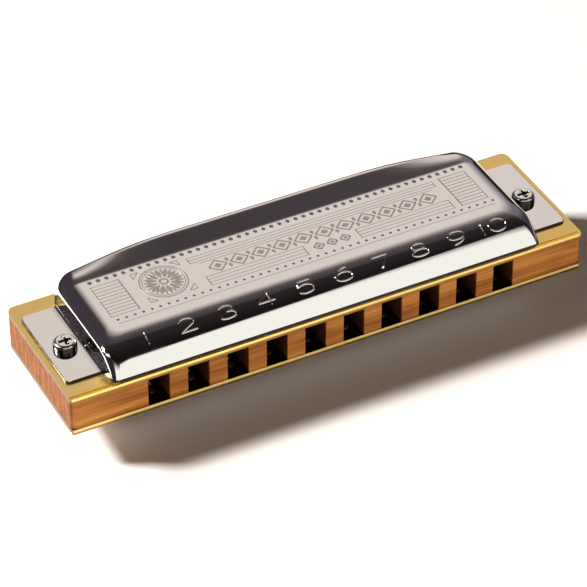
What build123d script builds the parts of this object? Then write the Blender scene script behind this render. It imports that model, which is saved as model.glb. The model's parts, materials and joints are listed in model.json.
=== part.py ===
from build123d import *

import os
from math import cos, radians, sin, tan

# A ten-hole diatonic harmonica, in millimetres: a wooden comb between two brass reed plates,
# closed by two pressed sheet covers. Hole 1 is at -X, the mouth side is -Y and +Z is up.
# The origin is the middle of the comb. Whatever is below the comb mirrors what is above it,
# apart from the reeds: the upper plate carries the blow reeds on its inner face, and the
# lower plate carries the draw reeds on its outer face.

# Driving dimensions
LENGTH = 100.0
DEPTH = 27.5
COMB_THICKNESS = 5.8
PLATE_THICKNESS = 1.0
SHEET = 0.45  # cover sheet
FRONT_Y = -DEPTH / 2
REAR_Y = DEPTH / 2
PLATE_Z = COMB_THICKNESS / 2 + PLATE_THICKNESS  # outer face of a reed plate

COMB_FRONT_CORNER = 1.2
COMB_REAR_CORNER = 1.5
PLATE_FRONT_CORNER = 0.6
PLATE_REAR_CORNER = 1.4

HOLES = 10
HOLE_PITCH = 7.5
HOLE_WIDTH = 4.1
LONGEST_CHAMBER_END_Y = 8.5  # hole 1
SHORTEST_CHAMBER_END_Y = 1.2  # hole 10

# Groove along each plate's front edge, which takes the cover's front lip
GROOVE_FRONT_Y = FRONT_Y + 0.38
GROOVE_BACK_Y = FRONT_Y + 0.90
GROOVE_DEPTH = 0.40

# Reeds
TONGUE_WIDTH = (2.2, 2.0)  # hole 1, hole 10
TONGUE_THICKNESS = 0.25
SIDE_CLEARANCE = 0.05
TIP_CLEARANCE = 0.10
ROOT_GAP = 0.02  # between a tongue and its pad
PAD_WIDTH = 3.5
PAD_LENGTH = 2.8
PAD_THICKNESS = 0.35
BLOW_TIP_Y = -10.7  # the blow reeds end in line, near the mouth
BLOW_PAD_TO_CHAMBER_END = 1.2
DRAW_ROOT_Y = -8.8  # the draw reeds start in line, near the mouth
DRAW_TIP_TO_CHAMBER_END = 1.4
RIVET_RADIUS = 0.55
RIVET_HEAD_RADIUS = 0.95
RIVET_HEAD_HEIGHT = 0.30
RIVET_TAIL_RADIUS = 0.80
RIVET_TAIL_HEIGHT = 0.15

# Small screws that hold the plates to the comb: three behind the chambers, two between them
PLATE_SCREW_PLACES = [(-30, 11.2), (0, 11.2), (30, 11.2), (-22.5, -6.0), (22.5, -6.0)]
PLATE_SCREW_RADIUS = 0.75
PLATE_SCREW_HEAD_RADIUS = 1.35
PLATE_SCREW_HEAD_HEIGHT = 0.70
PLATE_SCREW_LENGTH = 3.5

# Cover screws and nuts, one at each end
COVER_SCREW_X = 45.25
COVER_SCREW_Y = -0.9
COVER_SCREW_RADIUS = 1.0
COVER_SCREW_CLEARANCE = 0.1
COVER_SCREW_HEAD_RADIUS = 2.1
COVER_SCREW_HEAD_SIDE = 1.0
COVER_SCREW_HEAD_HEIGHT = 1.45
COVER_SCREW_TOP_RADIUS = 1.6
CROSS_WIDTH = 0.42
CROSS_LENGTH = 2.1
CROSS_DEPTH = 0.9
NUT_ACROSS_FLATS = 4.0
NUT_HEIGHT = 1.6
SCREW_END_BEYOND_NUT = 0.3

# Cover: tabs at the ends, steep end walls, a flat panel, a long soft front shoulder,
# and a strip behind a straight crease that flares up to an open rear edge
TAB_END_X = 49.0
TAB_INNER_X = 41.8
TAB_FRONT_Y = -9.6
TAB_REAR_Y = 9.9
TAB_CORNER = 1.0
BASE_HALF_LENGTH = 42.1
WALL_DRAFT = 7.0  # degrees
FRONT_CORNER_RADIUS = 5.4  # in plan
REAR_CORNER_RADIUS = 4.3  # in plan
PANEL_Z = 8.7
CREASE_Y = 8.8
SHOULDER_START_Y = -5.75
SHOULDER_RADIUS = 8.0
SLOPE = 58.0  # degrees, of the front below the shoulder
COVER_REAR_Y = 13.4
END_EDGE_WIDTH = 3.75  # rolled edge between the panel and an end wall
END_EDGE_DROP = 1.9
ARCH_TOP_Z = 10.05
ARCH_POINTS = [(33.0, 8.95), (27.0, 9.65), (20.0, 9.98)]  # rear edge of the flare: x, z
ARCH_EDGE = (38.0, 8.15)
ARCH_EDGE_SLOPE = 0.25
ARCH_SIDE = (41.6, 5.4)
LIP_FRONT_Y = FRONT_Y + 0.60
LIP_BACK_Y = FRONT_Y + 0.88
LIP_DEPTH = 0.35
LIP_HALF_LENGTH = 40.6
REACH = 6.0  # how far a cutting or clipping solid runs past what it cuts


def hole_x(hole):
    """Middle of a hole, counted from 1 at -X."""
    return (hole - (HOLES + 1) / 2) * HOLE_PITCH


def along(hole, first, last):
    """A value that changes evenly from hole 1 to hole 10."""
    return first + (last - first) * (hole - 1) / (HOLES - 1)


def chamber_end(hole):
    return along(hole, LONGEST_CHAMBER_END_Y, SHORTEST_CHAMBER_END_Y)


def tongue_width(hole):
    return along(hole, *TONGUE_WIDTH)


def block(x, y, z):
    """A box given by its lowest and highest value along each axis."""
    return Pos(x[0], y[0], z[0]) * Box(x[1] - x[0], y[1] - y[0], z[1] - z[0], align=Align.MIN)


def rod(x, y, z, radius):
    """An upright cylinder between two heights."""
    low, high = min(z), max(z)
    return Pos(x, y, low) * Cylinder(radius, high - low, align=(Align.CENTER, Align.CENTER, Align.MIN))


def slab(front_corner, rear_corner, z):
    """The harmonica's rounded outline between two heights."""
    body = block((-LENGTH / 2, LENGTH / 2), (FRONT_Y, REAR_Y), z)
    corners = body.edges().filter_by(Axis.Z).group_by(Axis.Y)
    body = fillet(corners[0], front_corner)
    return fillet(body.edges().filter_by(Axis.Z).group_by(Axis.Y)[-1], rear_corner)


def below(shape):
    """The same shape turned to the underside."""
    return mirror(shape, about=Plane.XY)


# ---------------------------------------------------------------- comb


def chamber(hole):
    """Air channel of one hole: open at the mouth, above and below, with a round rear end."""
    x, end = hole_x(hole), chamber_end(hole)
    z = (-COMB_THICKNESS, COMB_THICKNESS)
    radius = HOLE_WIDTH / 2
    channel = block((x - radius, x + radius), (FRONT_Y - REACH, end - radius), z)
    return channel + rod(x, end - radius, z, radius)


def make_comb():
    comb = slab(COMB_FRONT_CORNER, COMB_REAR_CORNER, (-COMB_THICKNESS / 2, COMB_THICKNESS / 2))
    for hole in range(1, HOLES + 1):
        comb -= chamber(hole)
    for x, y in PLATE_SCREW_PLACES:
        for side in (1, -1):
            tip = PLATE_Z - PLATE_SCREW_LENGTH
            comb -= rod(x, y, (side * tip, side * PLATE_Z), PLATE_SCREW_RADIUS)
    for side in (1, -1):
        comb -= cover_screw_hole(side)
    return comb


def cover_screw_hole(side):
    radius = COVER_SCREW_RADIUS + COVER_SCREW_CLEARANCE
    return rod(side * COVER_SCREW_X, COVER_SCREW_Y, (-2 * PLATE_Z, 2 * PLATE_Z), radius)


# ---------------------------------------------------------------- reeds

BLOW = {"root": lambda hole: chamber_end(hole) - BLOW_PAD_TO_CHAMBER_END - PAD_LENGTH, "turn": -1,
        "tip": lambda hole: BLOW_TIP_Y, "face": COMB_THICKNESS / 2}
DRAW = {"root": lambda hole: DRAW_ROOT_Y, "turn": 1,
        "tip": lambda hole: chamber_end(hole) - DRAW_TIP_TO_CHAMBER_END, "face": -PLATE_Z}


def make_tongue(kind, hole):
    """The free part of a reed: a thin brass strip over its slot, rooted at its pad."""
    x, half = hole_x(hole), tongue_width(hole) / 2
    root, tip = kind["root"](hole) + kind["turn"] * ROOT_GAP, kind["tip"](hole)
    z = (kind["face"] - TONGUE_THICKNESS, kind["face"])
    tongue = block((x - half, x + half), sorted((root, tip)), z)
    tip_edges = tongue.edges().filter_by(Axis.Z).sort_by(Axis.Y)
    tip_edges = tip_edges[:2] if kind["turn"] < 0 else tip_edges[-2:]
    return fillet(tip_edges, half / 4)


def pad_span(kind, hole):
    root = kind["root"](hole)
    return sorted((root, root - kind["turn"] * PAD_LENGTH))


def rivet_place(kind, hole):
    return hole_x(hole), sum(pad_span(kind, hole)) / 2


def make_pad(kind, hole):
    """The clamped end of a reed, as wide as the wall between two slots allows."""
    x = hole_x(hole)
    z = (kind["face"] - PAD_THICKNESS, kind["face"])
    pad = block((x - PAD_WIDTH / 2, x + PAD_WIDTH / 2), pad_span(kind, hole), z)
    pad = chamfer(pad.edges().filter_by(Axis.Z), 0.4)
    return pad - rod(*rivet_place(kind, hole), (z[0] - 1, z[1] + 1), RIVET_RADIUS)


def make_rivet(kind, hole):
    """Shank through pad and plate, a domed head under the pad and a low tail on the plate."""
    under = kind["face"] - PAD_THICKNESS
    over = kind["face"] + PLATE_THICKNESS
    profile = Polyline(
        (0, under - RIVET_HEAD_HEIGHT), (0.6 * RIVET_HEAD_RADIUS, under - RIVET_HEAD_HEIGHT),
        (RIVET_HEAD_RADIUS, under - RIVET_HEAD_HEIGHT / 3), (RIVET_HEAD_RADIUS, under),
        (RIVET_RADIUS, under), (RIVET_RADIUS, over), (RIVET_TAIL_RADIUS, over),
        (0.7 * RIVET_TAIL_RADIUS, over + RIVET_TAIL_HEIGHT), (0, over + RIVET_TAIL_HEIGHT), close=True,
    )
    rivet = revolve(make_face(Plane.XZ * profile), Axis.Z)
    return Pos(*rivet_place(kind, hole)) * rivet


def reed_slot(kind, hole, z):
    """Slot that the tongue swings through, from the pad's edge to just past the tip."""
    x, half = hole_x(hole), tongue_width(hole) / 2 + SIDE_CLEARANCE
    tip = kind["tip"](hole) + kind["turn"] * TIP_CLEARANCE
    return block((x - half, x + half), sorted((kind["root"](hole), tip)), (z[0] - 1, z[1] + 1))


# ---------------------------------------------------------------- reed plates


def make_plate(kind):
    """Brass plate with ten slots, a groove for the cover's lip, and its rivet and screw holes."""
    upper = kind is BLOW
    z = (COMB_THICKNESS / 2, PLATE_Z) if upper else (-PLATE_Z, -COMB_THICKNESS / 2)
    wide_z = (z[0] - 1, z[1] + 1)
    plate = slab(PLATE_FRONT_CORNER, PLATE_REAR_CORNER, z)
    for hole in range(1, HOLES + 1):
        plate -= reed_slot(kind, hole, z)
        plate -= rod(*rivet_place(kind, hole), wide_z, RIVET_RADIUS)
    for x, y in PLATE_SCREW_PLACES:
        plate -= rod(x, y, wide_z, PLATE_SCREW_RADIUS)
    for side in (1, -1):
        plate -= cover_screw_hole(side)
    groove = block((-LENGTH, LENGTH), (GROOVE_FRONT_Y, GROOVE_BACK_Y), (PLATE_Z - GROOVE_DEPTH, 2 * PLATE_Z))
    return plate - (groove if upper else below(groove))


def make_plate_screw(x, y):
    """Small self-tapping screw for the upper side: domed head on the plate, pointed shank."""
    tip = PLATE_Z - PLATE_SCREW_LENGTH
    top = PLATE_Z + PLATE_SCREW_HEAD_HEIGHT
    profile = Polyline(
        (0, tip), (0.3, tip), (PLATE_SCREW_RADIUS, tip + 0.6), (PLATE_SCREW_RADIUS, PLATE_Z),
        (PLATE_SCREW_HEAD_RADIUS, PLATE_Z), (PLATE_SCREW_HEAD_RADIUS, PLATE_Z + 0.35),
        (0.6 * PLATE_SCREW_HEAD_RADIUS, top), (0, top), close=True,
    )
    screw = revolve(make_face(Plane.XZ * profile), Axis.Z)
    slot = block((-2, 2), (-0.15, 0.15), (top - 0.3, top + 1))
    return Pos(x, y) * (screw - slot)


# ---------------------------------------------------------------- covers


def plan_block(inset):
    """Solid inside the end walls: a long outline with curved corners that narrows upwards.

    It runs past the front and the rear, where the other solids end the cover."""
    half = BASE_HALF_LENGTH - inset
    front_radius, rear_radius = FRONT_CORNER_RADIUS - inset, REAR_CORNER_RADIUS - inset
    front_turn, rear_turn = 55.0, 62.0  # degrees of corner, enough to pass the lip and the rear edge
    front_start, rear_start = TAB_FRONT_Y, TAB_REAR_Y
    front_end = (half - front_radius * (1 - cos(radians(front_turn))),
                 front_start - front_radius * sin(radians(front_turn)))
    rear_end = (half - rear_radius * (1 - cos(radians(rear_turn))),
                rear_start + rear_radius * sin(radians(rear_turn)))
    outline = []
    for side in (1, -1):
        wall_x, front_x, rear_x = side * half, side * front_end[0], side * rear_end[0]
        outline += [
            Line((wall_x, front_start), (wall_x, rear_start)),
            RadiusArc((wall_x, front_start), (front_x, front_end[1]), side * front_radius),
            RadiusArc((wall_x, rear_start), (rear_x, rear_end[1]), -side * rear_radius),
            Line((rear_x, rear_end[1]), (rear_x, REAR_Y + REACH)),
        ]
    outline.append(Line((-front_end[0], front_end[1]), (front_end[0], front_end[1])))
    outline.append(Line((-rear_end[0], REAR_Y + REACH), (rear_end[0], REAR_Y + REACH)))
    face = make_face(outline)
    return Pos(0, 0, PLATE_Z) * extrude(face, 2 * REACH, taper=WALL_DRAFT)


def profile_block(inset):
    """Solid behind the front: a slope, the soft shoulder, then the panel's height and above."""
    radius = SHOULDER_RADIUS - inset
    centre_z = PANEL_Z - SHOULDER_RADIUS
    slope = radians(SLOPE)
    turn_end = (SHOULDER_START_Y - radius * sin(slope), centre_z + radius * cos(slope))
    drop = turn_end[1] - PLATE_Z + REACH
    foot = (turn_end[0] - drop / tan(slope), PLATE_Z - REACH)
    arc = RadiusArc((SHOULDER_START_Y, centre_z + radius), turn_end, -radius)
    outline = [
        arc, Line(turn_end, foot), Line(foot, (REAR_Y + 2 * REACH, foot[1])),
        Line((REAR_Y + 2 * REACH, foot[1]), (REAR_Y + 2 * REACH, 3 * PANEL_Z)),
        Line((REAR_Y + 2 * REACH, 3 * PANEL_Z), (SHOULDER_START_Y, 3 * PANEL_Z)),
        Line((SHOULDER_START_Y, 3 * PANEL_Z), (SHOULDER_START_Y, centre_z + radius)),
    ]
    return extrude(Plane.YZ * make_face(outline), LENGTH, both=True)


def cross_section(y, inset, wall_top, edge, edge_slope, crown):
    """Closed section across the cover at one depth: side walls, rolled end edges and top.

    The top is straight between the edges, or curved through the crown's points if it has any."""
    low = PLATE_Z - REACH / 2
    wide = BASE_HALF_LENGTH + 0.05 + (PLATE_Z - low) * tan(radians(WALL_DRAFT)) - inset
    side_x, side_z = wall_top[0] - inset, wall_top[1] - inset / 2
    top_x, top_z = edge[0], edge[1] - inset
    pull_x, pull_z = 0.55 * (side_x - top_x), 0.55 * (top_z - side_z)
    right = [(side_x, side_z), (side_x, side_z + pull_z), (top_x + pull_x, top_z - edge_slope * pull_x),
             (top_x, top_z)]
    left = [(-x, z) for x, z in reversed(right)]
    middle = [(x, z - inset) for x, z in crown]
    edges = [
        Line((-wide, low), (wide, low)),
        Line((wide, low), right[0]),
        Bezier(*right),
        Spline(right[-1], *middle, left[0]) if crown else Line(right[-1], left[0]),
        Bezier(*left),
        Line(left[-1], (-wide, low)),
    ]
    return Plane((0, y, 0), x_dir=(1, 0, 0), z_dir=(0, -1, 0)) * make_face(edges)


def section_block(inset):
    """Solid under the panel and the flared strip behind the crease, run on past the rear edge."""
    wall_top_z = PANEL_Z - END_EDGE_DROP
    wall_top_x = BASE_HALF_LENGTH + 0.05 - (wall_top_z - PLATE_Z) * tan(radians(WALL_DRAFT))
    panel_edge = (wall_top_x - END_EDGE_WIDTH, PANEL_Z)
    crease = cross_section(CREASE_Y, inset, (wall_top_x, wall_top_z), panel_edge, 0, [])
    crown = ARCH_POINTS + [(0, ARCH_TOP_Z)] + [(-x, z) for x, z in reversed(ARCH_POINTS)]
    rear = cross_section(COVER_REAR_Y, inset, ARCH_SIDE, ARCH_EDGE, ARCH_EDGE_SLOPE, crown)
    panel = extrude(crease, CREASE_Y - FRONT_Y + REACH, dir=(0, -1, 0))
    past_rear = extrude(rear, REACH, dir=(0, 1, 0))
    return panel + loft([crease, rear], ruled=True) + past_rear


def make_cover():
    """Upper cover: an open-backed shell with two screw tabs and a lip for the plate's groove."""
    above_plate = block((-LENGTH, LENGTH), (-DEPTH, COVER_REAR_Y), (PLATE_Z, 3 * PANEL_Z))
    outside = section_block(0) & profile_block(0) & plan_block(0) & above_plate
    inside = section_block(SHEET) & profile_block(SHEET) & plan_block(SHEET)
    shell = outside - inside
    for side in (1, -1):
        x = sorted((side * TAB_INNER_X, side * TAB_END_X))
        tab = block(x, (TAB_FRONT_Y, TAB_REAR_Y), (PLATE_Z, PLATE_Z + SHEET))
        outer = tab.edges().filter_by(Axis.Z).group_by(Axis.X)[-1 if side > 0 else 0]
        shell += fillet(outer, TAB_CORNER)
        shell -= cover_screw_hole(side)
    lip_x, lip_y = (-LIP_HALF_LENGTH, LIP_HALF_LENGTH), (LIP_FRONT_Y, LIP_BACK_Y)
    return shell + block(lip_x, lip_y, (PLATE_Z - LIP_DEPTH, PLATE_Z))


# ---------------------------------------------------------------- cover fasteners


def make_cover_screw(side):
    """Cross-recess screw through both covers, both plates and the comb, into the nut below."""
    seat = PLATE_Z + SHEET
    end = -(seat + NUT_HEIGHT + SCREW_END_BEYOND_NUT)
    top = seat + COVER_SCREW_HEAD_HEIGHT
    profile = Polyline(
        (0, end), (0.7, end), (COVER_SCREW_RADIUS, end + 0.3), (COVER_SCREW_RADIUS, seat),
        (COVER_SCREW_HEAD_RADIUS, seat), (COVER_SCREW_HEAD_RADIUS, seat + COVER_SCREW_HEAD_SIDE),
        (COVER_SCREW_TOP_RADIUS, top), (0, top), close=True,
    )
    screw = revolve(make_face(Plane.XZ * profile), Axis.Z)
    for length, width in ((CROSS_LENGTH, CROSS_WIDTH), (CROSS_WIDTH, CROSS_LENGTH)):
        screw -= block((-length / 2, length / 2), (-width / 2, width / 2), (top - CROSS_DEPTH, top + 1))
    return Pos(side * COVER_SCREW_X, COVER_SCREW_Y) * screw


def make_cover_nut(side):
    """Hexagon nut under the lower cover's tab."""
    seat = PLATE_Z + SHEET
    hexagon = RegularPolygon(NUT_ACROSS_FLATS / 2, 6, major_radius=False)
    nut = extrude(hexagon, NUT_HEIGHT) - rod(0, 0, (-1, NUT_HEIGHT + 1), COVER_SCREW_RADIUS)
    return Pos(side * COVER_SCREW_X, COVER_SCREW_Y, -seat - NUT_HEIGHT) * nut


# ---------------------------------------------------------------- assembly


def make_parts():
    holes = range(1, HOLES + 1)
    plate_screws = [make_plate_screw(x, y) for x, y in PLATE_SCREW_PLACES]
    parts = {
        "comb": make_comb(),
        "upper_cover": make_cover(),
        "lower_cover": below(make_cover()),
        "blow_reed_plate": make_plate(BLOW),
        "draw_reed_plate": make_plate(DRAW),
        "upper_plate_screws": Compound(children=plate_screws),
        "lower_plate_screws": Compound(children=[below(screw) for screw in plate_screws]),
    }
    for name, side in (("left", -1), ("right", 1)):
        parts[f"cover_screw_{name}"] = make_cover_screw(side)
        parts[f"cover_nut_{name}"] = make_cover_nut(side)
    for name, kind in (("blow", BLOW), ("draw", DRAW)):
        parts[f"{name}_reed_pads"] = Compound(children=[make_pad(kind, hole) for hole in holes])
        parts[f"{name}_reed_rivets"] = Compound(children=[make_rivet(kind, hole) for hole in holes])
        for hole in holes:
            parts[f"{name}_reed_{hole:02d}"] = make_tongue(kind, hole)
    return parts


os.makedirs("parts", exist_ok=True)
for node, shape in make_parts().items():
    export_step(shape, f"parts/{node}.step")
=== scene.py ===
"""Looks of the ten-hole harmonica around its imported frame. Lengths are in millimetres until a
mesh is made, and hole 1 is at -X, the mouth side at -Y and the numbered cover at +Z."""
import json
import math

import bmesh
import bpy
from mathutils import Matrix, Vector


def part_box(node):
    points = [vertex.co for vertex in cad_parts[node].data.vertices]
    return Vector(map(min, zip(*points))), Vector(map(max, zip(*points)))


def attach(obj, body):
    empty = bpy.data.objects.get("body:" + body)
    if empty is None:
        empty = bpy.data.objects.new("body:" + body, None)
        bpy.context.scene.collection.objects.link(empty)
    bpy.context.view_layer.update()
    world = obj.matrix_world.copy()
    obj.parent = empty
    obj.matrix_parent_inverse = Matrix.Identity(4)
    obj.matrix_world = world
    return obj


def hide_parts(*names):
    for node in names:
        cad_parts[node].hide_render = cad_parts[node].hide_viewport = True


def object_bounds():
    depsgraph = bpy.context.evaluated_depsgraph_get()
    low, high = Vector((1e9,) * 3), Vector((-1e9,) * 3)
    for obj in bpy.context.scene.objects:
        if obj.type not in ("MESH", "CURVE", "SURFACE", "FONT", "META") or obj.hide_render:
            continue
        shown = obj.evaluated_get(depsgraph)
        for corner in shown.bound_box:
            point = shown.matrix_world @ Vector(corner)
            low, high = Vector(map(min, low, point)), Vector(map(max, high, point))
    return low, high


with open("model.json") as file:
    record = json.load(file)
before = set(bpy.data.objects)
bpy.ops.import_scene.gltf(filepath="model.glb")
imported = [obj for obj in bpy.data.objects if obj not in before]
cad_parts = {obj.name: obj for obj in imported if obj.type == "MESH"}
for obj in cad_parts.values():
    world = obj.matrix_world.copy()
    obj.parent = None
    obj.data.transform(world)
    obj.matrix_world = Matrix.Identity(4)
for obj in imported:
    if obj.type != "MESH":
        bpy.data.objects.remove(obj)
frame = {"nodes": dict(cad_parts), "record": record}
cad_low, cad_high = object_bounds()
MM = 0.001

# Sizes read from the frame
COVER_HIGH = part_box("upper_cover")[1] / MM
PLATE_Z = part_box("blow_reed_plate")[1].z / MM
TAB_END_X = COVER_HIGH.x
REAR_Y = COVER_HIGH.y
ARCH_Z = COVER_HIGH.z

# Cover surface
SHEET = 0.45
PANEL_Z = 8.7
PANEL_HALF = 38.0  # flat part, along X
SHOULDER_Y = -5.75  # where the panel starts to roll down to the front
SHOULDER_RADIUS = 8.0
SLOPE = math.radians(58.0)
END_ROLL = (3.75, 1.9)  # width and height of the roll from the panel to an end wall
BASE_HALF = 42.1
CREASE_Y = 8.8
CREASE_SOFTNESS = 0.4
TAB_Y = (-9.6, 9.9)
TAB_CORNER = 1.0
REAR_CORNER = 4.3  # plan radius of the end walls' rear ends
# Front corners in plan: X, Y and power, each at the panel and at the plate
FRONT_CORNER = ((2.4, 1.6), (2.6, 3.6), (2.0, 2.6))
LIP = ((-40.6, 40.6), (-13.15, -12.87), (-0.35, 0.1))  # in the groove, Z from the plate's face
CURL_RADIUS = 1.5  # soft roll along the rear edge
CURL_END = math.radians(20.0)  # how far the roll leans back at its end
ROLL_LIFT = 0.26  # height that the roll takes off again
ARCH_LEVEL = 18.0  # the rear edge is level this far out from the middle
ARCH_FALL = (20.0, 1.95)  # and falls over this length by this much
REAR_END = (40.35, 5.4)  # where the arch's rear edge turns straight down, X and Z
REAR_PULLS = ((1.3, -0.25), (0.0, 1.4))  # how it leaves the top and how it comes down there
BULGE_DEPTH = 2.6  # how far down the side the extra height of the strip fades out
CUT_EDGE = 0.18  # dark, unplated edge of the sheet at the rear
GAP_SHADOW_HEIGHT = 0.42  # height of the sheet's foot where it enters the groove, painted dark as the shadow of the gap there

# Camera and studio light
AZIMUTH = math.radians(-27.36)
ELEVATION = math.radians(38.71)
DISTANCE = 0.550  # metres
AIM = Vector((-0.0012, -0.0004, -0.0006))
FILL = (0.54, 0.41, 0.35)  # share of the studio's light that matt surfaces get

# Numbers on the shoulder
NUMBER_SIZE = (3.3, 2.5)
NUMBER_PITCH = 7.55
NUMBER_DROP = 3.45  # along the surface, from the start of the shoulder
NUMBER_SHIFT = 0.3  # towards +X
TEN_FIGURES = (-2.4, 0.65)  # where the figures of 10 stand about its middle
STROKE = (0.34, 0.16)  # width and height of a raised stroke
STROKE_SINK = 0.04
STROKE_END = 0.55  # size of a stroke's end against its middle

# Ornament on the panel
RELIEF = (PANEL_Z - 0.05, PANEL_Z + 0.01)
DOTS = 47
DOT_START = -36.5
DOT_PITCH = 1.6
HATCHING_X = (31.7, 37.0)
HATCHING_Y = (-2.3, 6.7)
ROSETTE = (-24.9, 2.55)
RULES_X = (-18.75, 30.2)
LOZENGES = 11
LOZENGE_START = (-14.6, 2.3)
LOZENGE_PITCH = 4.18

# Cover screws
# Flank of the head: radius, and depth below its top
SCREW_FLANK = [(1.6, 0.01), (1.72, 0.05), (1.85, 0.13), (1.97, 0.25), (2.06, 0.4), (2.1, 0.55),
               (2.1, 1.38), (2.03, 1.45), (1.0, 1.45)]
SCREW_TOP_RADIUS = 1.5
SHANK = (1.0, 0.85, 0.15)  # radius, radius of its end, chamfer
CROSS_REACH = 1.22
CROSS_DEPTH = 0.75
CROSS_WALL = (0.30, 0.08)  # half width at the top of an arm, and the wall's run
CROSS_PIT = (0.85, 0.62, 0.14)  # depth, radius and wall of the middle


# ---------------------------------------------------------------- meshes


def make_object(name, bm, materials, crease=math.radians(28)):
    """Turns a bmesh in millimetres into an object in metres, smooth up to the crease angle."""
    bmesh.ops.recalc_face_normals(bm, faces=bm.faces)
    for edge in bm.edges:
        edge.smooth = edge.calc_face_angle(0) < crease
    bmesh.ops.scale(bm, vec=(MM, MM, MM), verts=bm.verts)
    mesh = bpy.data.meshes.new(name)
    bm.to_mesh(mesh)
    bm.free()
    mesh.polygons.foreach_set("use_smooth", [True] * len(mesh.polygons))
    for material in materials:
        mesh.materials.append(material)
    obj = bpy.data.objects.new(name, mesh)
    bpy.context.scene.collection.objects.link(obj)
    return obj


def add_grid(bm, rows, closed=False):
    """Quads between rows of points of equal length. A closed grid joins each row's ends."""
    verts = [[bm.verts.new(point) for point in row] for row in rows]
    for above, here in zip(verts, verts[1:]):
        for i in range(len(here) - (not closed)):
            j = (i + 1) % len(here)
            bm.faces.new((above[i], above[j], here[j], here[i]))
    return verts


def add_prism(bm, outline, low, high):
    """A closed prism on an outline in X and Y."""
    rows = add_grid(bm, [[(x, y, z) for x, y in outline] for z in (low, high)], closed=True)
    for row in rows:
        bm.faces.new(row)


def evenly(first, last, count):
    return [first + (last - first) * i / (count - 1) for i in range(count)]


# ---------------------------------------------------------------- cover


def front_y(z):
    """Front of the cover at a height: a long arc from the panel, then a straight slope."""
    centre_z = PANEL_Z - SHOULDER_RADIUS
    end_z = centre_z + SHOULDER_RADIUS * math.cos(SLOPE)
    if z >= end_z:
        turn = math.acos(min(1.0, (z - centre_z) / SHOULDER_RADIUS))
        return SHOULDER_Y - SHOULDER_RADIUS * math.sin(turn)
    return SHOULDER_Y - SHOULDER_RADIUS * math.sin(SLOPE) - (end_z - z) / math.tan(SLOPE)


def end_x(z):
    """End wall of the cover at a height: an elliptic roll from the panel, then a slight draft."""
    width, height = END_ROLL
    wall_top = PANEL_Z - height
    if z >= wall_top:
        return PANEL_HALF + width * math.sqrt(max(0.0, 1 - ((z - wall_top) / height) ** 2))
    top_x = PANEL_HALF + width
    return top_x + (BASE_HALF - top_x) * (wall_top - z) / (wall_top - PLATE_Z)


def levels():
    """Heights of the cover's contour rows, from the panel down to the plate."""
    turns = [math.radians(1.5 * i) for i in range(39)]
    shoulder = [PANEL_Z - SHOULDER_RADIUS * (1 - math.cos(turn)) for turn in turns]
    return shoulder + evenly(shoulder[-1], PLATE_Z, 5)[1:]


def contour(z):
    """Half of the outline at a height, from the crease along the end and round the front corner."""
    depth = (PANEL_Z - z) / (PANEL_Z - PLATE_Z)
    corner_x, corner_y, power = (high + (low - high) * depth for high, low in FRONT_CORNER)
    wide, front = end_x(z), front_y(z)
    side = [(wide, y) for y in evenly(CREASE_Y - CREASE_SOFTNESS, front + corner_y, 16)]
    corner = []
    for i in range(1, 15):
        turn = math.pi / 2 * i / 14
        across, along = math.sin(turn) ** (2 / power), math.cos(turn) ** (2 / power)
        corner.append((wide - corner_x * (1 - along), front + corner_y * (1 - across)))
    return side + corner


def arch_height(x):
    """Height the flared strip would reach at the rear edge without its roll."""
    length, fall = ARCH_FALL
    return ARCH_Z + ROLL_LIFT - fall * max(0.0, (abs(x) - ARCH_LEVEL) / length) ** 2


def rear_side(count):
    """Rear edge of the shell from the end of the arch down to the plate, one point a level."""
    start, end = Vector((PANEL_HALF, arch_height(PANEL_HALF))), Vector(REAR_END)
    first, second = start + Vector(REAR_PULLS[0]), end + Vector(REAR_PULLS[1])
    points = []
    straight = 8
    for t in evenly(0, 1, count - straight):
        u = 1 - t
        points.append(u**3 * start + 3 * u * u * t * first + 3 * u * t * t * second + t**3 * end)
    points += [Vector((end.x, z)) for z in evenly(end.y, PLATE_Z, straight + 1)[1:]]
    return points


def rear_section(y, side_levels, columns, inset=0.0):
    """Section across the flared strip at a depth, from the right foot over the top to the left."""
    soft, reach = CREASE_SOFTNESS, REAR_Y - CREASE_Y
    past = y - CREASE_Y
    rise = (past + soft) ** 2 / (4 * soft) / reach if past < soft else past / reach
    spare = rise * (1 - rise)

    def swell(x):
        """Extra height part-way back: the strip leaves the crease at one angle all along."""
        return (arch_height(0) - arch_height(x)) * spare

    turned = math.asin(min(1.0, max(0.0, (y - TAB_Y[1]) / REAR_CORNER)))
    tuck = (1 - math.cos(turned)) / (1 - math.cos(math.asin((REAR_Y - TAB_Y[1]) / REAR_CORNER)))
    half = []
    for z, last in zip(side_levels, rear_side(len(side_levels))):
        x = end_x(z)
        bulge = swell(PANEL_HALF) * max(0.0, 1 - (PANEL_Z - z) / BULGE_DEPTH) ** 2
        half.append(Vector((x + (last.x - x) * tuck, z + (last.y - z) * rise + bulge)))
    half = half[::-1]
    top = [Vector((x, PANEL_Z + (arch_height(x) - PANEL_Z) * rise + swell(x))) for x in columns]
    section = half + top + [Vector((-p.x, p.y)) for p in reversed(half)]
    if inset:
        moved = []
        for i, point in enumerate(section):
            along = section[min(i + 1, len(section) - 1)] - section[max(i - 1, 0)]
            moved.append(point - inset * Vector((along.y, -along.x)).normalized())
        section = moved
    return [(point.x, y, point.y) for point in section]


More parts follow.
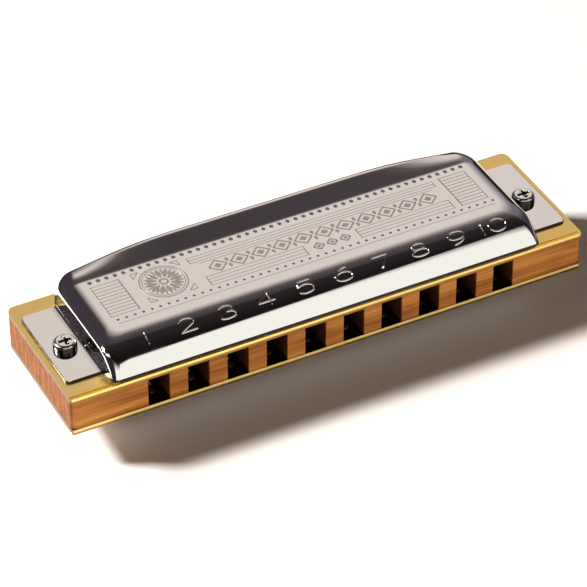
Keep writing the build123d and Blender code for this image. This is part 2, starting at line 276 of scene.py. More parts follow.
def cover_skin():
    """Outer skin of the upper cover as one open surface."""
    bm = bmesh.new()
    zs = levels()
    start_y = CREASE_Y - CREASE_SOFTNESS
    half_rows = [[(x, y, z) for x, y in contour(z)] for z in zs]
    fronts = 48
    rows = []
    for half in half_rows:
        x, y, z = half[-1]
        middle = [(value, y, z) for value in evenly(x, -x, fronts)[1:-1]]
        rows.append(half + middle + [(-px, py, pz) for px, py, pz in reversed(half)])
    ring = add_grid(bm, rows)[0]
    columns = evenly(PANEL_HALF, -PANEL_HALF, 61)[1:-1]
    flare_angle = math.atan((arch_height(0) - PANEL_Z) / (REAR_Y - CREASE_Y))
    roll_length = CURL_RADIUS * (math.sin(flare_angle) + math.sin(CURL_END))
    roll_y = REAR_Y - roll_length
    bend_end_y = CREASE_Y + CREASE_SOFTNESS
    depths = evenly(start_y, bend_end_y, 9) + evenly(bend_end_y, roll_y, 9)[1:]
    depths += evenly(roll_y, REAR_Y - CUT_EDGE, 9)[1:] + [REAR_Y]
    sections = []
    for y in depths:
        past = max(0.0, y - roll_y)
        lean = math.asin(min(1.0, max(-1.0, past / CURL_RADIUS - math.sin(flare_angle))))
        fall = CURL_RADIUS * (math.cos(flare_angle) - math.cos(lean)) + past * math.tan(flare_angle)
        sections.append(rear_section(y, zs, columns, max(0.0, fall)))
    strip = add_grid(bm, sections)
    first = len(zs) - 1
    top = strip[0][first:first + len(columns) + 2]
    bm.faces.new([*ring[1:-1], *reversed(top)])
    bmesh.ops.remove_doubles(bm, verts=bm.verts, dist=1e-4)
    bmesh.ops.recalc_face_normals(bm, faces=bm.faces)
    if sum(face.normal.z * face.calc_area() for face in bm.faces) < 0:
        bmesh.ops.reverse_faces(bm, faces=bm.faces)
    return bm


def thicken(bm):
    """Gives the skin the sheet's thickness, inwards, and rests its foot on the plate."""
    solid = bmesh.ops.solidify(bm, geom=bm.faces[:], thickness=SHEET)
    for item in solid["geom"]:
        if isinstance(item, bmesh.types.BMVert):
            item.co.z = max(item.co.z, PLATE_Z)


def add_tab(bm, side):
    """Screw tab at one end: a flat sheet with a small bend up into the end wall."""
    bend, edge, top = 0.5, 0.12, PLATE_Z + SHEET
    wall = BASE_HALF - 0.35
    section = [(wall, PLATE_Z), (wall, top + bend)]
    for i in range(6):
        turn = math.pi / 2 * i / 5
        section.append((BASE_HALF + bend * (1 - math.cos(turn)), top + bend * (1 - math.sin(turn))))
    # Columns on the flat part keep its face level where the corners pull them in.
    section += [(x, top) for x in (43.5, 45.0, 46.5, 47.5, TAB_END_X - 0.2)]
    section += [(TAB_END_X - edge, top), (TAB_END_X - 0.3 * edge, top - 0.3 * edge)]
    section += [(TAB_END_X, top - edge), (TAB_END_X, PLATE_Z), (wall, PLATE_Z)]
    inner = BASE_HALF + bend
    shell_faces = len(bm.faces)
    rows = []
    for end, sign in ((TAB_Y[0], 1), (TAB_Y[1], -1)):
        part = []
        for i in range(7):
            turn = math.pi / 2 * i / 6
            away, cut = TAB_CORNER * (1 - math.cos(turn)), TAB_CORNER * (1 - math.sin(turn))
            limit = TAB_END_X - cut
            scale = (limit - inner) / (TAB_END_X - inner)
            y = end + sign * away
            part.append([(side * (x if x < inner else inner + (x - inner) * scale), y, z)
                         for x, z in section])
        rows += part if sign > 0 else part[::-1]
    verts = add_grid(bm, rows)
    for row in (verts[0], verts[-1]):
        bm.faces.new(row[:-1])
    bm.faces.ensure_lookup_table()
    # The tab's upright sides on the plate take material 1: the sheet's dark edge with a painted
    # shadow of the gap under it.
    for face in bm.faces[shell_faces:]:
        face.normal_update()
        to_plate = min(vert.co.z for vert in face.verts) < PLATE_Z + 0.01
        face.material_index = int(abs(face.normal.z) < 0.3 and to_plate)


def add_block(bm, x, y, z):
    """A closed box, for the lip in the plate's groove."""
    corners = [bm.verts.new((a, b, c)) for a in x for b in y for c in z]
    sides = ((0, 1, 3, 2), (4, 6, 7, 5), (0, 4, 5, 1), (2, 3, 7, 6), (0, 2, 6, 4), (1, 5, 7, 3))
    for face in sides:
        bm.faces.new([corners[i] for i in face])


def make_cover(name, flip, materials):
    """One cover: the shell, its tabs and the lip along its foot; flipped for the lower one."""
    bm = cover_skin()
    thicken(bm)
    # Material 1 darkens the rear edge, and the front foot as a painted shadow of the gap into the
    # groove.
    for face in bm.faces:
        at_rear = min(vert.co.y for vert in face.verts) > REAR_Y - CUT_EDGE - 0.01
        low = max(vert.co.z for vert in face.verts) < PLATE_Z + GAP_SHADOW_HEIGHT
        in_gap_shadow = low and face.calc_center_median().y < TAB_Y[0]
        face.material_index = int(at_rear or in_gap_shadow)
    for side in (1, -1):
        add_tab(bm, side)
    across, along, (below, above) = LIP
    add_block(bm, across, along, (PLATE_Z + below, PLATE_Z + above))
    if flip:
        bmesh.ops.scale(bm, vec=(1, 1, -1), verts=bm.verts)
    return make_object(name, bm, materials)


# ---------------------------------------------------------------- numbers


def on_shoulder(x, along):
    """Point and normal on the front shoulder, at a distance along its section from the panel."""
    turn = along / SHOULDER_RADIUS
    normal = Vector((0, -math.sin(turn), math.cos(turn)))
    return Vector((x, SHOULDER_Y, PANEL_Z - SHOULDER_RADIUS)) + SHOULDER_RADIUS * normal, normal


def arc(centre, radii, first, last, count=25):
    """Points on an ellipse between two angles in degrees."""
    turns = [math.radians(angle) for angle in evenly(first, last, count)]
    (x, y), (across, along) = centre, radii
    return [(x + across * math.cos(turn), y + along * math.sin(turn)) for turn in turns]


def number_strokes():
    """Strokes of each figure within a unit box centred on the origin, X right and Y up."""
    six = [arc((0, -0.17), (0.48, 0.33), 180, 540, 41), arc((0.32, -0.17), (0.8, 0.67), 180, 90)]
    return {
        "0": [arc((0, 0), (0.5, 0.5), 90, 450, 49)],
        "1": [[(0, 0.5), (0, -0.5)]],
        "2": [arc((0, 0.2), (0.44, 0.3), 165, -35) + [(-0.46, -0.48)],
              [(-0.46, -0.48), (0.5, -0.48)]],
        "3": [arc((0, 0.25), (0.38, 0.25), 155, -90), arc((0, -0.24), (0.47, 0.26), 90, -155)],
        "4": [[(0.2, 0.5), (-0.5, -0.2)], [(-0.5, -0.2), (0.5, -0.2)], [(0.2, 0.5), (0.2, -0.5)]],
        "5": [[(0.42, 0.48), (-0.32, 0.48)], [(-0.32, 0.48), (-0.4, 0.06)],
              arc((0, -0.16), (0.48, 0.33), 145, -150)],
        "6": six,
        "7": [[(-0.48, 0.48), (0.48, 0.48)], [(0.48, 0.48), (-0.1, -0.5)]],
        "8": [arc((0, 0.25), (0.37, 0.24), 90, 450, 41),
              arc((0, -0.24), (0.48, 0.26), 90, 450, 41)],
        "9": [[(-x, -y) for x, y in stroke] for stroke in six],
    }


def add_stroke(bm, path):
    """Sweeps a half-round ridge along points on the shoulder given as (x, distance along)."""
    dense = []
    for (x0, a0), (x1, a1) in zip(path, path[1:]):
        steps = max(2, math.ceil(math.hypot(x1 - x0, a1 - a0) / 0.25) + 1)
        dense += list(zip(evenly(x0, x1, steps), evenly(a0, a1, steps)))[:-1]
    dense.append(path[-1])
    loop = math.dist(path[0], path[-1]) < 1e-6
    half, height = STROKE[0] / 2, STROKE[1]
    rows = []
    for i, (x, along) in enumerate(dense):
        point, normal = on_shoulder(x, along)
        before = dense[i - 1] if i or not loop else dense[-2]
        after = dense[i + 1] if i + 1 < len(dense) else dense[1] if loop else dense[i]
        ahead = on_shoulder(*after)[0] - on_shoulder(*(before if i or loop else dense[0]))[0]
        aside = normal.cross(ahead).normalized()
        end = not loop and i in (0, len(dense) - 1)
        size = STROKE_END if end else 1.0
        rows.append([point + aside * half * size * math.cos(turn)
                     + normal * (height * size * math.sin(turn) - STROKE_SINK)
                     for turn in evenly(0, math.pi, 9)])
    if loop:
        rows[-1] = rows[0]
    verts = add_grid(bm, rows, closed=True)
    if not loop:
        for row in (verts[0], verts[-1]):
            bm.faces.new(row)


def make_numbers(material):
    """Raised figures 1 to 10 over the mouth holes."""
    bm = bmesh.new()
    strokes = number_strokes()
    width, height = NUMBER_SIZE
    for hole in range(1, 11):
        centre = NUMBER_PITCH * (hole - 5.5) + NUMBER_SHIFT
        shifts = TEN_FIGURES if hole == 10 else (0.0,)
        for figure, shift in zip(str(hole), shifts):
            x = centre + shift
            for stroke in strokes[figure]:
                add_stroke(bm, [(x + width * u, NUMBER_DROP - height * v) for u, v in stroke])
    bmesh.ops.remove_doubles(bm, verts=bm.verts, dist=1e-5)
    return make_object("upper_cover_numbers", bm, [material], crease=math.radians(60))


# ---------------------------------------------------------------- etched ornament


def add_shape(bm, outline):
    """A raised shape on the panel."""
    add_prism(bm, outline, *RELIEF)


def add_bar(bm, start, end, width):
    """A straight raised line on the panel."""
    start, end = Vector(start), Vector(end)
    aside = (end - start).normalized().orthogonal() * width / 2
    add_shape(bm, [start + aside, start - aside, end - aside, end + aside])


def add_loop(bm, corners, width):
    """Raised lines from corner to corner and back to the first."""
    for first, second in zip(corners, [*corners[1:], corners[0]]):
        add_bar(bm, first, second, width)


def add_ring(bm, centre, outer, inner, count):
    """A raised flat ring on the panel."""
    low, high = RELIEF
    turns = [2 * math.pi * i / count for i in range(count)]
    section = [(outer, low), (outer, high), (inner, high), (inner, low)]
    x, y = centre
    rows = [[(x + r * math.cos(turn), y + r * math.sin(turn), z) for r, z in section]
            for turn in [*turns, 0.0]]
    add_grid(bm, rows, closed=True)


def leaf(centre, angle, first, last, width):
    """Outline of a pointed leaf lying between two radii from a centre."""
    along = Vector((math.cos(angle), math.sin(angle)))
    across = along.orthogonal()
    shares = evenly(0, 1, 9)

    def point(share, side):
        spread = side * width / 2 * math.sin(math.pi * share)
        return Vector(centre) + along * (first + (last - first) * share) + across * spread

    return [point(t, 1) for t in shares] + [point(t, -1) for t in reversed(shares[1:-1])]


def add_dots(bm):
    """Rows of dots along the crease and the shoulder, in the second material."""
    for i in range(DOTS):
        x = DOT_START + DOT_PITCH * i
        add_shape(bm, arc((x, 7.95), (0.42, 0.46), 0, 324, 10))
        add_shape(bm, arc((x + 0.2, -3.35), (0.3, 0.28), 0, 324, 10))
    for face in bm.faces:
        face.material_index = 1


def add_hatching(bm, side):
    """A block of ruled lines near one end of the panel."""
    inner, outer = (side * x for x in HATCHING_X)
    low, high = HATCHING_Y
    add_bar(bm, (inner, low), (inner, high), 0.3)
    add_bar(bm, (outer, low), (outer, high), 0.2)
    for y in evenly(low + 0.1, high - 0.1, 11):
        add_bar(bm, (inner, y), (outer, y), 0.16)


def add_rosette(bm):
    """A rosette of leaves in two rings, with a triangle in each corner."""
    for outer, inner, count in ((4.4, 4.15, 48), (3.9, 3.72, 48), (0.9, 0.5, 24)):
        add_ring(bm, ROSETTE, outer, inner, count)
    for i in range(12):
        angle = math.pi / 6 * i
        add_shape(bm, leaf(ROSETTE, angle, 1.1, 3.6, 0.95))
        add_shape(bm, leaf(ROSETTE, angle + math.pi / 12, 2.1, 3.65, 0.45))
    for sx in (1, -1):
        for sy in (1, -1):
            corner = Vector(ROSETTE) + Vector((4.45 * sx, 4.3 * sy))
            tips = [corner + Vector((-1.4 * sx, 0)), corner + Vector((0, -1.4 * sy))]
            add_loop(bm, [corner, *tips], 0.2)


def add_rules(bm):
    """Long ruled lines above and below the frieze."""
    left, right = RULES_X
    for y in (6.4, 5.65, 4.9):
        add_bar(bm, (left, y), (right, y), 0.13)
    for x in RULES_X:
        add_bar(bm, (x, 6.5), (x, 4.8), 0.25)
    add_bar(bm, (-17.4, 4.25), (29.0, 4.25), 0.13)
    for first, last in ((-17.9, 0.9), (11.4, right)):
        for y in (0.3, -0.55, -1.4, -2.25):
            add_bar(bm, (first, y), (last, y), 0.13)
        for x in (first, last):
            add_bar(bm, (x, 0.4), (x, -2.35), 0.25)


def add_lozenge(bm, x, y, wide, tall):
    """A lozenge's outline with a smaller solid one inside."""
    offsets = ((-wide, 0), (0, -tall), (wide, 0), (0, tall))
    add_loop(bm, [(x + u, y + v) for u, v in offsets], 0.32)
    add_shape(bm, [(x + u * 0.45, y + v * 0.45) for u, v in offsets])


def add_frieze(bm):
    """A row of lozenges with leaves between them, over three small ones."""
    start, y = LOZENGE_START
    for i in range(LOZENGES):
        x = start + LOZENGE_PITCH * i
        add_lozenge(bm, x, y, 1.7, 1.55)
        if i < LOZENGES - 1:
            for angle in (math.pi / 2, -math.pi / 2):
                add_shape(bm, leaf((x + LOZENGE_PITCH / 2, y), angle, 0.25, 1.5, 0.75))
    for x in (3.6, 6.2, 8.8):
        add_lozenge(bm, x, -0.9, 1.0, 0.95)


def make_etching(name, flip, materials):
    """Fine raised ornament on the panel."""
    bm = bmesh.new()
    add_dots(bm)
    add_bar(bm, (-36.6, -4.4), (37.2, -4.4), 0.12)
    for side in (1, -1):
        add_hatching(bm, side)
    add_rosette(bm)
    add_rules(bm)
    add_frieze(bm)
    bmesh.ops.remove_doubles(bm, verts=bm.verts, dist=1e-5)
    if flip:
        bmesh.ops.scale(bm, vec=(1, 1, -1), verts=bm.verts)
    return make_object(name, bm, materials)


# ---------------------------------------------------------------- screws


def recess(x, y):
    """Depth of the cross recess at a point of the head, with sloping floors and steep walls."""
    pit_depth, pit_radius, pit_wall = CROSS_PIT
    half, run = CROSS_WALL
    depth = pit_depth * min(1.0, max(0.0, (pit_radius - math.hypot(x, y)) / pit_wall))
    for along, across in ((abs(x), abs(y)), (abs(y), abs(x))):
        wall = min(1.0, max(0.0, (half - across) / run))
        depth = max(depth, wall * CROSS_DEPTH * max(0.0, 1 - (along / CROSS_REACH) ** 3))
    return depth


def make_screw(name, node, material):
    """Pan-head screw with a cross recess and a plain shank, in the place of a CAD screw."""
    low, high = (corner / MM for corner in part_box(node))
    middle, top = (low + high) / 2, high.z
    shank, tip, chamfer = SHANK
    bm = bmesh.new()
    turns = [2 * math.pi * i / 96 for i in range(96)]
    rows = []
    for radius in evenly(0.05, SCREW_TOP_RADIUS, 30):
        circle = [(radius * math.cos(t), radius * math.sin(t)) for t in turns]
        rows.append([(x, y, top - recess(x, y)) for x, y in circle])
    flank = [(radius, top - depth) for radius, depth in SCREW_FLANK]
    for radius, z in [*flank, (shank, low.z + chamfer), (tip, low.z)]:
        rows.append([(radius * math.cos(t), radius * math.sin(t), z) for t in turns])
    verts = add_grid(bm, rows, closed=True)
    bm.faces.new(verts[0])
    bm.faces.new(verts[-1])
    bmesh.ops.translate(bm, vec=(middle.x, middle.y, 0), verts=bm.verts)
    screw = make_object(name, bm, [material], crease=math.radians(40))
    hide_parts(node)
    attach(screw, "frame")


# ---------------------------------------------------------------- materials


class Nodes:
    """Short names for adding and joining nodes in one node tree."""

    def __init__(self, tree):
        self.tree = tree

    def add(self, kind, inputs=None, **settings):
        node = self.tree.nodes.new("ShaderNode" + kind)
        for key, value in settings.items():
            setattr(node, key, value)
        for key, value in (inputs or {}).items():
            self.set(node.inputs[key], value)
        return node

    def set(self, socket, value):
        if isinstance(value, bpy.types.NodeSocket):
            self.tree.links.new(value, socket)
        else:
            socket.default_value = value

    def math(self, operation, *values):
        return self.add("Math", dict(enumerate(values)), operation=operation).outputs[0]

    def times(self, first, second):
        return self.math("MULTIPLY", first, second)

    def magnitude(self, value):
        return self.math("ABSOLUTE", value)

    def normal(self):
        """X, Y and Z of the surface's normal."""
        geometry = self.add("NewGeometry").outputs["Normal"]
        return self.add("SeparateXYZ", {"Vector": geometry}).outputs

    def noise(self, vector, scale, detail=4.0, stretch=(1, 1, 1)):
        spread = self.add("Mapping", {"Vector": vector, "Scale": stretch}).outputs[0]
        inputs = {"Vector": spread, "Scale": scale, "Detail": detail}
        return self.add("TexNoise", inputs).outputs["Fac"]

    def ramp(self, factor, *stops):
        """Colour ramp over (position, colour) stops. A single number stands for a grey."""
        node = self.add("ValToRGB", {"Fac": factor})
        elements = node.color_ramp.elements
        while len(elements) > 1:
            elements.remove(elements[-1])
        for i, (place, colour) in enumerate(stops):
            element = elements[0] if i == 0 else elements.new(place)
            element.position = place
            element.color = (*(colour if isinstance(colour, tuple) else [colour] * 3), 1)
        return node.outputs["Color"]

    def range(self, value, low, high, to_low=0.0, to_high=1.0):
        inputs = {"Value": value, "From Min": low, "From Max": high,
                  "To Min": to_low, "To Max": to_high}
        return self.add("MapRange", inputs, interpolation_type="SMOOTHSTEP").outputs["Result"]

    def mix(self, factor, first, second, blend="MIX"):
        node = self.add("Mix", data_type="RGBA", blend_type=blend)
        for key, value in ((0, factor), (6, first), (7, second)):
            if isinstance(value, tuple):
                value = (*value, 1)
            self.set(node.inputs[key], value)
        return node.outputs[2]


def new_material(name, **sockets):
    """A Principled material; returns it, its nodes helper, its shader and object coordinates."""
    material = bpy.data.materials.new(name)
    material.use_nodes = True
    nodes = Nodes(material.node_tree)
    shader = material.node_tree.nodes["Principled BSDF"]
    for key, value in sockets.items():
        shader.inputs[key.replace("_", " ")].default_value = value
    return material, nodes, shader, nodes.add("TexCoord").outputs["Object"]


def chrome(name, colour, smooth, rough):
    """Bright plating with faint polishing streaks and a little haze."""
    material, nodes, shader, place = new_material(name, Metallic=1.0)
    streaks = nodes.noise(place, 900, 3, (0.12, 1, 1))
    haze = nodes.noise(place, 120, 4)
    both = nodes.times(streaks, haze)
    nodes.set(shader.inputs["Roughness"], nodes.range(both, 0.12, 0.42, smooth, rough))
    tint = nodes.mix(haze, colour, tuple(0.96 * value for value in colour))
    nodes.set(shader.inputs["Base Color"], tint)
    bump = nodes.add("Bump", {"Strength": 0.03, "Distance": 0.00002, "Height": streaks})
    nodes.set(shader.inputs["Normal"], bump.outputs[0])
    return material


def nickel(name):
    """Plated screw: bright ground crown; flank and recess walls painted dark as painted shade where
    they face sideways.
    """
    material, nodes, shader, place = new_material(name, Metallic=1.0)
    grain = nodes.noise(place, 1800, 3, (1, 1, 0.2))
    normal = nodes.normal()["Z"]
    bright = nodes.mix(grain, (0.80, 0.78, 0.75), (0.72, 0.70, 0.67))
    # Painted shade: near black where the surface faces sideways, on the flank and the recess walls.
    crown = nodes.range(normal, 0.35, 0.8)
    nodes.set(shader.inputs["Base Color"], nodes.mix(crown, (0.05, 0.042, 0.04), bright))
    nodes.set(shader.inputs["Roughness"], nodes.range(grain, 0.3, 0.7, 0.10, 0.20))
    return material


def etched(name, darker, lighter):
    """Fine raised marks, left matt and darker than the plating by the die."""
    material, nodes, shader, place = new_material(name, Metallic=1.0, Roughness=0.5)
    grain = nodes.noise(place, 2500, 3)
    nodes.set(shader.inputs["Base Color"], nodes.mix(grain, darker, lighter))
    return material


def cut_edge(name):
    """Raw edge of the plated sheet at the rear; the same dark colour is also painted shadow along
    the cover's foot and on the tabs' sides.
    """
    material, nodes, shader, place = new_material(name, Metallic=1.0, Roughness=0.35)
    grain = nodes.noise(place, 1500, 3)
    colour = nodes.mix(grain, (0.025, 0.018, 0.018), (0.07, 0.055, 0.055))
    nodes.set(shader.inputs["Base Color"], colour)
    return material


def plate_brass(name):
    """Rolled brass: satin faces, a painted highlight along the top of each edge over painted shade
    below, painted shade on the end faces, tarnish inside.
    """
    material, nodes, shader, place = new_material(name, Metallic=1.0)
    rolled = nodes.noise(place, 700, 4, (0.08, 1, 1))
    cloud = nodes.noise(place, 90, 3)
    face = nodes.mix(cloud, (0.74, 0.50, 0.135), (0.83, 0.60, 0.20))
    face = nodes.mix(nodes.range(rolled, 0.35, 0.7), face, (0.88, 0.66, 0.27))
    height = nodes.add("SeparateXYZ", {"Vector": place}).outputs["Z"]
    facing = nodes.normal()
    normal = facing["Z"]
    upright = nodes.range(nodes.magnitude(normal), 0.3, 0.6, 1, 0)
    on_end = nodes.range(nodes.magnitude(facing["X"]), 0.5, 0.85)
    # Painted highlight on the upper part of each plate's edge and painted shade below it, by height
    # from -5 mm to 5 mm; the lower plate comes first.
    bands = ((-5.0, 0.0), (-3.55, 0.0), (-3.4, 1.0), (0.0, 1.0), (0.1, 0.0), (3.3, 0.0), (3.5, 1.0))
    stops = [(0.5 + z / 10, share) for z, share in bands]
    bright = nodes.ramp(nodes.math("MULTIPLY_ADD", height, 0.1 / MM, 0.5), *stops)
    edge = nodes.mix(bright, (0.30, 0.165, 0.045), (0.98, 0.76, 0.24))
    # Painted shade: the plates' end faces are darkened against the key light.
    edge = nodes.mix(on_end, edge, (0.14, 0.068, 0.02))
    colour = nodes.mix(upright, face, edge)
    facing_in = nodes.times(normal, height)
    inside = nodes.range(facing_in, -0.0005, 0.0, 1, 0)
    colour = nodes.mix(inside, colour, (0.13, 0.07, 0.025))
    nodes.set(shader.inputs["Base Color"], colour)
    # Less metallic where the lower plate's edge carries the painted highlight and on the
    # painted-dark ends, so the painted colours show.
    lower_plate = nodes.math("LESS_THAN", height, 0)
    matt_painted_bands = nodes.times(nodes.times(upright, bright), lower_plate)
    matt_painted_bands = nodes.math("MAXIMUM", matt_painted_bands, on_end)
    nodes.set(shader.inputs["Metallic"], nodes.math("MULTIPLY_ADD", matt_painted_bands, -0.8, 1.0))
    nodes.set(shader.inputs["Roughness"], nodes.range(rolled, 0.3, 0.7, 0.2, 0.33))
    return material


def plain_brass(name, colour, roughness):
    """Ground brass of one colour, for the reeds and their rivets."""
    material, nodes, shader, place = new_material(name, Metallic=1.0)
    ground = nodes.noise(place, 1500, 3, (1, 0.1, 1))
    darker = tuple(0.75 * value for value in colour)
    nodes.set(shader.inputs["Base Color"], nodes.mix(ground, colour, darker))
    rough = nodes.range(ground, 0.3, 0.7, roughness, roughness + 0.12)
    nodes.set(shader.inputs["Roughness"], rough)
    return material


def comb_wood(name):
    """Sealed hardwood: grain along the row of holes, fine pores on the ends, painted shade in the
    chambers and a painted shadow at the gap above the lower plate.
    """
    material, nodes, shader, place = new_material(name, Specular_IOR_Level=0.22)
    low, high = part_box("comb")
    parts = nodes.add("SeparateXYZ", {"Vector": place}).outputs
    normal, off_middle = nodes.normal(), nodes.magnitude(parts["X"])
    bands = nodes.noise(place, 420, 5, (0.055, 0.5, 1))
    fibres = nodes.noise(place, 2300, 4, (0.04, 0.4, 1))
    patches = nodes.noise(place, 70, 2)
    grain = nodes.math("ADD", nodes.times(bands, 0.65), nodes.times(fibres, 0.35))
    long_grain = nodes.ramp(grain, (0.33, (0.14, 0.034, 0.004)), (0.45, (0.33, 0.10, 0.015)),
                            (0.56, (0.51, 0.185, 0.030)), (0.67, (0.68, 0.30, 0.058)))
    pores = nodes.noise(place, 1500, 4, (1, 0.9, 0.1))
    end_grain = nodes.ramp(pores, (0.34, (0.10, 0.024, 0.002)), (0.5, (0.18, 0.052, 0.005)),
                           (0.66, (0.26, 0.088, 0.010)))
    on_end = nodes.times(nodes.range(nodes.magnitude(normal["X"]), 0.5, 0.85),
                         nodes.range(off_middle, high.x - 4 * MM, high.x - 2 * MM))
    pale = nodes.range(patches, 0.35, 0.7, 0.0, 0.3)
    long_grain = nodes.mix(pale, long_grain, (0.66, 0.28, 0.046))
    colour = nodes.mix(on_end, long_grain, end_grain)
    # Painted shadow: a dark line along the comb's bottom, at the gap above the lower plate.
    painted_gap_shadow = nodes.range(parts["Z"], low.z + 0.1 * MM, low.z + 0.35 * MM, 0.75, 0)
    colour = nodes.mix(painted_gap_shadow, colour, (0.05, 0.015, 0.004))
    # Painted shade inside the chambers: faces away from the comb's front, rear and ends go dark.
    chamber_shade = nodes.times(nodes.range(parts["Y"], low.y + 0.05 * MM, low.y + 0.55 * MM),
                       nodes.range(parts["Y"], high.y - 0.25 * MM, high.y - 0.03 * MM, 1, 0))
    chamber_shade = nodes.times(chamber_shade, nodes.range(off_middle, high.x - 6 * MM, high.x - 5 * MM, 1, 0))
    colour = nodes.mix(nodes.times(chamber_shade, 0.88), colour, (0.045, 0.012, 0.006))
    nodes.set(shader.inputs["Base Color"], colour)
    nodes.set(shader.inputs["Roughness"], nodes.range(fibres, 0.3, 0.7, 0.62, 0.42))
    bump = nodes.add("Bump", {"Strength": 0.25, "Distance": 0.00003, "Height": fibres})
    nodes.set(shader.inputs["Normal"], bump.outputs[0])
    return material


# ---------------------------------------------------------------- stage


def make_camera():
    """Long lens, from the left of the mouth side and well above."""
    level = math.cos(ELEVATION)
    away = Vector((math.sin(AZIMUTH) * level, -math.cos(AZIMUTH) * level, math.sin(ELEVATION)))
    data = bpy.data.cameras.new("camera")
    data.lens, data.sensor_width = 191.05, 36.0
    camera = bpy.data.objects.new("camera", data)
    bpy.context.scene.collection.objects.link(camera)
    camera.location = AIM + DISTANCE * away
    camera.rotation_mode = "QUATERNION"
    camera.rotation_quaternion = (-away).to_track_quat("-Z", "Y")
    bpy.context.scene.camera = camera


def make_floor():
    """A pale, slightly warm table top."""
    bm = bmesh.new()
    half, z = 700, cad_low.z / MM
    corners = ((-half, -half), (half, -half), (half, half), (-half, half))
    bm.faces.new([bm.verts.new((x, y, z)) for x, y in corners])
    material, nodes, shader, place = new_material("floor", Roughness=0.75)
    mottle = nodes.noise(place, 25, 3)
    colour = nodes.mix(mottle, (0.80, 0.755, 0.73), (0.82, 0.775, 0.75))
    nodes.set(shader.inputs["Base Color"], colour)
    make_object("floor", bm, [material])


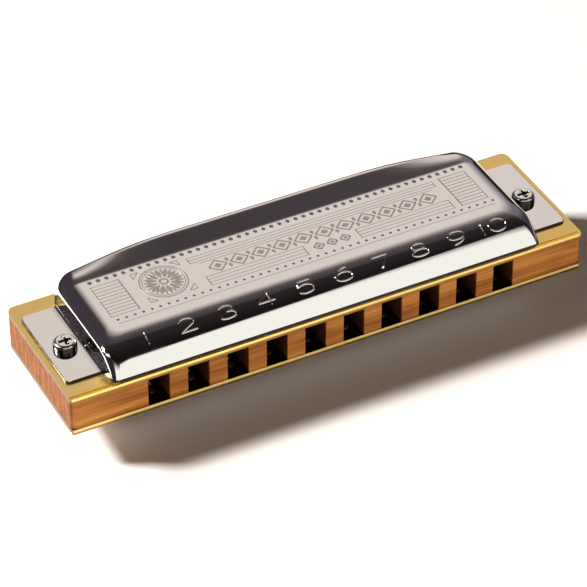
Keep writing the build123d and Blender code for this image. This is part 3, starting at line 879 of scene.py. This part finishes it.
def make_world():
    """A studio by direction: a pale card behind, dark overhead and beside, white in front.

    `over` turns from 0 at the horizon behind, by 0.5 overhead, to 1 at the horizon in front.
    """
    world = bpy.data.worlds.new("studio")
    bpy.context.scene.world = world
    world.use_nodes = True
    world.node_tree.nodes.clear()
    nodes = Nodes(world.node_tree)
    direction = nodes.add("TexCoord").outputs["Generated"]

    def along(axis):
        vectors = {0: direction, 1: axis}
        return nodes.add("VectorMath", vectors, operation="DOT_PRODUCT").outputs["Value"]

    behind = along((-math.sin(AZIMUTH), math.cos(AZIMUTH), 0))
    right, up = along((math.cos(AZIMUTH), math.sin(AZIMUTH), 0)), along((0, 0, 1))
    over = nodes.math("DIVIDE", nodes.math("ARCTAN2", up, behind), math.pi)
    card, dim, dark = (0.90, 0.82, 0.76), (0.22, 0.19, 0.24), (0.06, 0.048, 0.062)
    # The white's upper edge climbs towards the right.
    slant = nodes.range(right, 0.526, 0.572, 0.0, 0.155)
    slant = nodes.times(slant, nodes.range(over, 0.40, 0.50))
    slant = nodes.times(slant, nodes.range(over, 0.66, 0.80, 1.0, 0.0))
    front = nodes.math("ADD", over, slant)
    sky = nodes.ramp(front, (0.0, 0.012), (0.085, 0.02), (0.125, card), (0.25, card),
                     (0.325, (0.15, 0.118, 0.115)), (0.365, (0.085, 0.07, 0.075)),
                     (0.395, (0.075, 0.062, 0.068)), (0.42, (0.03, 0.024, 0.026)),
                     (0.55, (0.016, 0.012, 0.012)), (0.65, (0.006, 0.005, 0.005)),
                     (0.70, (0.03, 0.027, 0.024)), (0.79, (1.2, 1.2, 1.12)),
                     (0.955, (1.25, 1.25, 1.17)), (0.975, 0.02), (1.0, 0.01))
    # The card is narrow, with a dim lilac wall to its right and a dark one to its left.
    beyond = nodes.times(nodes.math("LESS_THAN", over, 0.5),
                         nodes.math("GREATER_THAN", over, 0.09))
    beside = nodes.mix(nodes.range(right, 0.35, 0.6), dim, dark)
    beside = nodes.mix(nodes.math("LESS_THAN", right, 0), beside, dark)
    off_card = nodes.range(nodes.magnitude(right), 0.05, 0.32)
    beside = nodes.mix(1.0, beside, sky, "DARKEN")  # never brighter than the card
    sky = nodes.mix(nodes.times(off_card, beyond), sky, beside)
    low_left = nodes.times(nodes.range(right, -0.32, -0.10, 1, 0),
                           nodes.math("GREATER_THAN", over, 0.67))
    sky = nodes.mix(low_left, sky, (0.035, 0.028, 0.028))
    # A small bright strip high on the left picks out upright strokes and the near corner.
    strip_over = nodes.magnitude(nodes.math("SUBTRACT", over, 0.60))
    strip_right = nodes.magnitude(nodes.math("ADD", right, 0.62))
    strip = nodes.times(nodes.range(strip_over, 0.02, 0.06, 1, 0),
                        nodes.range(strip_right, 0.12, 0.26, 1, 0))
    sky = nodes.mix(strip, sky, (1.6, 1.55, 1.5))
    rays = nodes.add("LightPath").outputs
    sky = nodes.mix(rays["Is Diffuse Ray"], sky, nodes.mix(1.0, sky, FILL, "MULTIPLY"))
    sky = nodes.mix(rays["Is Camera Ray"], sky, (0.95, 0.95, 0.95))
    background = nodes.add("Background", {"Color": sky})
    nodes.set(nodes.add("OutputWorld").inputs[0], background.outputs[0])


def make_light(name, place, aim, size, power, colour):
    """An area light at a place in metres, turned to its aim."""
    data = bpy.data.lights.new(name, "AREA")
    data.shape = "RECTANGLE"
    data.size, data.size_y = size
    data.energy = power
    data.color = colour
    light = bpy.data.objects.new(name, data)
    bpy.context.scene.collection.objects.link(light)
    light.location = place
    light.rotation_mode = "QUATERNION"
    light.rotation_quaternion = (Vector(aim) - Vector(place)).to_track_quat("-Z", "Y")


make_camera()
make_world()
make_floor()
make_light("key", (-0.60, 0.36, 0.50), (0, 0, 0), (0.16, 0.16), 20.0, (1.0, 0.97, 0.93))
bpy.context.scene.view_settings.view_transform = "Standard"

finishes = {
    "comb_wood": comb_wood("comb_wood"),
    "plate_brass": plate_brass("plate_brass"),
    "reed_brass": plain_brass("reed_brass", (0.60, 0.42, 0.16), 0.3),
    "rivet_brass": plain_brass("rivet_brass", (0.45, 0.29, 0.10), 0.35),
    "cover_chrome": chrome("cover_chrome", (0.76, 0.74, 0.73), 0.035, 0.07),
    "screw_nickel": nickel("screw_nickel"),
}
for part in frame["record"]["subparts"]:
    mesh = frame["nodes"][part["node"]].data
    mesh.materials.clear()
    mesh.materials.append(finishes[part["material_slot"]])

# The dark edge material is also painted shadow at the cover's foot and on the tabs' sides.
plated, edge = finishes["cover_chrome"], cut_edge("cover_dark_edge_and_painted_shade")
die_marks = [etched("cover_etching", (0.38, 0.33, 0.31), (0.60, 0.55, 0.52)),
             etched("cover_dots", (0.13, 0.12, 0.17), (0.30, 0.28, 0.34))]
pieces = []
for cover_name, flip in (("upper_cover", False), ("lower_cover", True)):
    shell = make_cover(cover_name + "_shell", flip, [plated, edge])
    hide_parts(cover_name)
    pieces += [shell, make_etching(cover_name + "_etching", flip, die_marks)]
pieces.append(make_numbers(plated))
for piece in pieces:
    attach(piece, "frame")

for side in ("left", "right"):
    make_screw("cover_screw_" + side + "_turned", "cover_screw_" + side, finishes["screw_nickel"])
